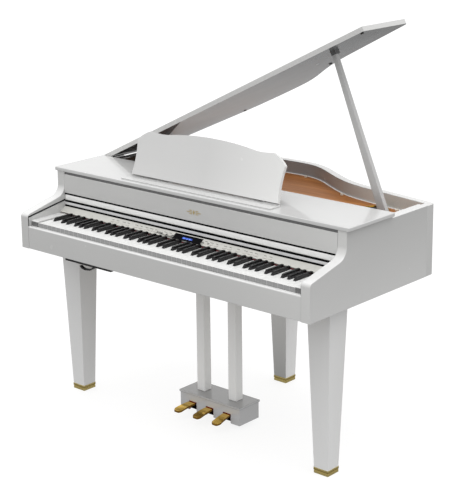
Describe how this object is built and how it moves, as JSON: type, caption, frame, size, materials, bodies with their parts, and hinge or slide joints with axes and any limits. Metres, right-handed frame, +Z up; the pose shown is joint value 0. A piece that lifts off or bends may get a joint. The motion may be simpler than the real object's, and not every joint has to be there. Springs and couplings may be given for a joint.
{
  "type": "digital mini grand piano",
  "caption": "Digital mini grand piano in white lacquer: lid raised on a prop, folding music rest, sliding fallboard, keyboard between arms, tapered legs and pedal lyre.",
  "frame": {"origin": "on the floor, under the middle of the whole instrument's bounding box", "axes": "+X towards the treble side, +Y away from the player, +Z up"},
  "size_m": [1.3971, 0.934, 1.4859],
  "materials": {
    "white_lacquer": "white gloss lacquer",
    "ivory_plastic": "satin ivory",
    "fascia_plastic": "pale lilac grey, gloss",
    "button_plastic": "satin grey",
    "display_plastic": "dark window with a blue glow behind it",
    "natural_key_plastic": "gloss white",
    "sharp_key_plastic": "satin black",
    "soundboard_wood": "brown, fine straight grain",
    "bed_wood": "plain board",
    "brass": "polished",
    "steel": "brushed",
    "silver_paint": "satin silver grey",
    "black_paint": "satin black",
    "black_plastic": "satin black",
    "cream_rubber": "cream",
    "red_felt": "red felt"
  },
  "bodies": {
    "case": {"left_side_panel": "white_lacquer", "right_side_panel": "white_lacquer", "fallboard_tracks": "black_plastic", "rear_rim": "white_lacquer", "bottom_board": "bed_wood", "soundboard": "soundboard_wood", "speaker_rings": "brass", "speaker_cones": "black_plastic", "rim_studs": "cream_rubber", "front_rail": "white_lacquer", "front_panel": "white_lacquer", "fascia_strip": "fascia_plastic", "cheek_blocks": "white_lacquer", "control_panel": "ivory_plastic", "display_window": "display_plastic", "key_rail": "steel", "key_felt": "red_felt", "top_board": "white_lacquer", "rest_ledge": "white_lacquer", "rest_hinges": "steel", "lid_hinge_case_leaves": "steel", "prop_bracket": "brass", "front_leg_left": "white_lacquer", "front_leg_right": "white_lacquer", "rear_leg": "white_lacquer", "leg_ferrules": "brass", "lyre_posts": "white_lacquer", "pedal_box": "silver_paint", "pedal_box_lid": "silver_paint", "pedal_rod": "steel", "pedal_felts": "red_felt", "jack_box": "black_plastic", "headphone_hook": "black_paint", "sound_module": "black_paint", "power_inlet": "black_plastic"},
    "lid": {"lid": "white_lacquer", "lid_hinge_lid_leaves": "steel", "lid_bumpers": "black_plastic", "prop_socket": "black_paint"},
    "prop": {"lid_prop": "white_lacquer"},
    "rest": {"music_rest": "white_lacquer"},
    "stays": {"rest_stays": "steel"},
    "fallboard": {"fallboard": "white_lacquer"},
    "bass_naturals": {"bass_white_keys": "natural_key_plastic"},
    "treble_naturals": {"treble_white_keys": "natural_key_plastic"},
    "bass_sharps": {"bass_black_keys": "sharp_key_plastic"},
    "treble_sharps": {"treble_black_keys": "sharp_key_plastic"},
    "middle_c": {"middle_c_key": "natural_key_plastic"},
    "middle_c_sharp": {"middle_c_sharp_key": "sharp_key_plastic"},
    "middle_d": {"middle_d_key": "natural_key_plastic"},
    "middle_d_sharp": {"middle_d_sharp_key": "sharp_key_plastic"},
    "middle_e": {"middle_e_key": "natural_key_plastic"},
    "pedal_left": {"left_pedal": "brass"},
    "pedal_middle": {"middle_pedal": "brass"},
    "pedal_right": {"right_pedal": "brass"},
    "power_switch": {"power_button": "button_plastic"},
    "voice_switches": {"voice_buttons": "button_plastic"},
    "song_switches": {"song_buttons": "button_plastic"},
    "adjuster": {"adjuster_foot": "black_plastic"}
  },
  "joints": [
    {"name": "lid_hinge", "type": "hinge", "parent": "case", "child": "lid", "pos_m": [-0.6927, 0.227, 0.8605], "axis": [0, -1, 0], "range_deg": [0, 12]},
    {"name": "prop_hinge", "type": "hinge", "parent": "case", "child": "prop", "pos_m": [0.588, 0.073, 0.828], "axis": [0, -1, 0], "range_deg": [0, 67.5]},
    {"name": "rest_hinge", "type": "hinge", "parent": "case", "child": "rest", "pos_m": [0, -0.1975, 0.885], "axis": [-1, 0, 0], "range_deg": [0, 69]},
    {"name": "stay_pivot", "type": "hinge", "parent": "rest", "child": "stays", "pos_m": [0, -0.17411, 0.9615], "axis": [-1, 0, 0], "range_deg": [-138, 0]},
    {"name": "fallboard_slide", "type": "slide", "parent": "case", "child": "fallboard", "axis": [0, -0.9863, -0.1647], "range_m": [0, 0.174]},
    {"name": "bass_naturals_pivot", "type": "hinge", "parent": "case", "child": "bass_naturals", "pos_m": [0, -0.259, 0.696], "axis": [1, 0, 0], "range_deg": [0, 3], "stiffness_Nm_per_rad": 7, "springref_deg": -17.19},
    {"name": "treble_naturals_pivot", "type": "hinge", "parent": "case", "child": "treble_naturals", "pos_m": [0, -0.259, 0.696], "axis": [1, 0, 0], "range_deg": [0, 3], "stiffness_Nm_per_rad": 8, "springref_deg": -17.19},
    {"name": "bass_sharps_pivot", "type": "hinge", "parent": "case", "child": "bass_sharps", "pos_m": [0, -0.259, 0.696], "axis": [1, 0, 0], "range_deg": [0, 3], "stiffness_Nm_per_rad": 2.2, "springref_deg": -17.19},
    {"name": "treble_sharps_pivot", "type": "hinge", "parent": "case", "child": "treble_sharps", "pos_m": [0, -0.259, 0.696], "axis": [1, 0, 0], "range_deg": [0, 3], "stiffness_Nm_per_rad": 2.5, "springref_deg": -17.19},
    {"name": "middle_c_pivot", "type": "hinge", "parent": "case", "child": "middle_c", "pos_m": [0, -0.259, 0.696], "axis": [1, 0, 0], "range_deg": [0, 3], "stiffness_Nm_per_rad": 0.32, "springref_deg": -17.19},
    {"name": "middle_c_sharp_pivot", "type": "hinge", "parent": "case", "child": "middle_c_sharp", "pos_m": [0, -0.259, 0.696], "axis": [1, 0, 0], "range_deg": [0, 3], "stiffness_Nm_per_rad": 0.14, "springref_deg": -17.19},
    {"name": "middle_d_pivot", "type": "hinge", "parent": "case", "child": "middle_d", "pos_m": [0, -0.259, 0.696], "axis": [1, 0, 0], "range_deg": [0, 3], "stiffness_Nm_per_rad": 0.32, "springref_deg": -17.19},
    {"name": "middle_d_sharp_pivot", "type": "hinge", "parent": "case", "child": "middle_d_sharp", "pos_m": [0, -0.259, 0.696], "axis": [1, 0, 0], "range_deg": [0, 3], "stiffness_Nm_per_rad": 0.14, "springref_deg": -17.19},
    {"name": "middle_e_pivot", "type": "hinge", "parent": "case", "child": "middle_e", "pos_m": [0, -0.259, 0.696], "axis": [1, 0, 0], "range_deg": [0, 3], "stiffness_Nm_per_rad": 0.32, "springref_deg": -17.19},
    {"name": "pedal_left_pivot", "type": "hinge", "parent": "case", "child": "pedal_left", "pos_m": [-0.0845, -0.122, 0.046], "axis": [1, 0, 0], "range_deg": [0, 4.6], "stiffness_Nm_per_rad": 3, "springref_deg": -8.59},
    {"name": "pedal_middle_pivot", "type": "hinge", "parent": "case", "child": "pedal_middle", "pos_m": [0, -0.122, 0.046], "axis": [1, 0, 0], "range_deg": [0, 4.6], "stiffness_Nm_per_rad": 3, "springref_deg": -8.59},
    {"name": "pedal_right_pivot", "type": "hinge", "parent": "case", "child": "pedal_right", "pos_m": [0.0845, -0.122, 0.046], "axis": [1, 0, 0], "range_deg": [0, 4.6], "stiffness_Nm_per_rad": 3, "springref_deg": -8.59},
    {"name": "power_switch_slide", "type": "slide", "parent": "case", "child": "power_switch", "axis": [0, 0.5701, -0.8216], "range_m": [0, 0.0012], "stiffness_N_per_m": 200, "springref_m": -0.002},
    {"name": "voice_switches_slide", "type": "slide", "parent": "case", "child": "voice_switches", "axis": [0, 0.5701, -0.8216], "range_m": [0, 0.0012], "stiffness_N_per_m": 800, "springref_m": -0.002},
    {"name": "song_switches_slide", "type": "slide", "parent": "case", "child": "song_switches", "axis": [0, 0.5701, -0.8216], "range_m": [0, 0.0012], "stiffness_N_per_m": 800, "springref_m": -0.002},
    {"name": "adjuster_slide", "type": "slide", "parent": "case", "child": "adjuster", "axis": [0, 0, 1], "range_m": [0, 0.005]}
  ],
  "couplings": [
    {"joint": "stay_pivot", "follows": "rest_hinge", "ratio": -2}
  ]
}
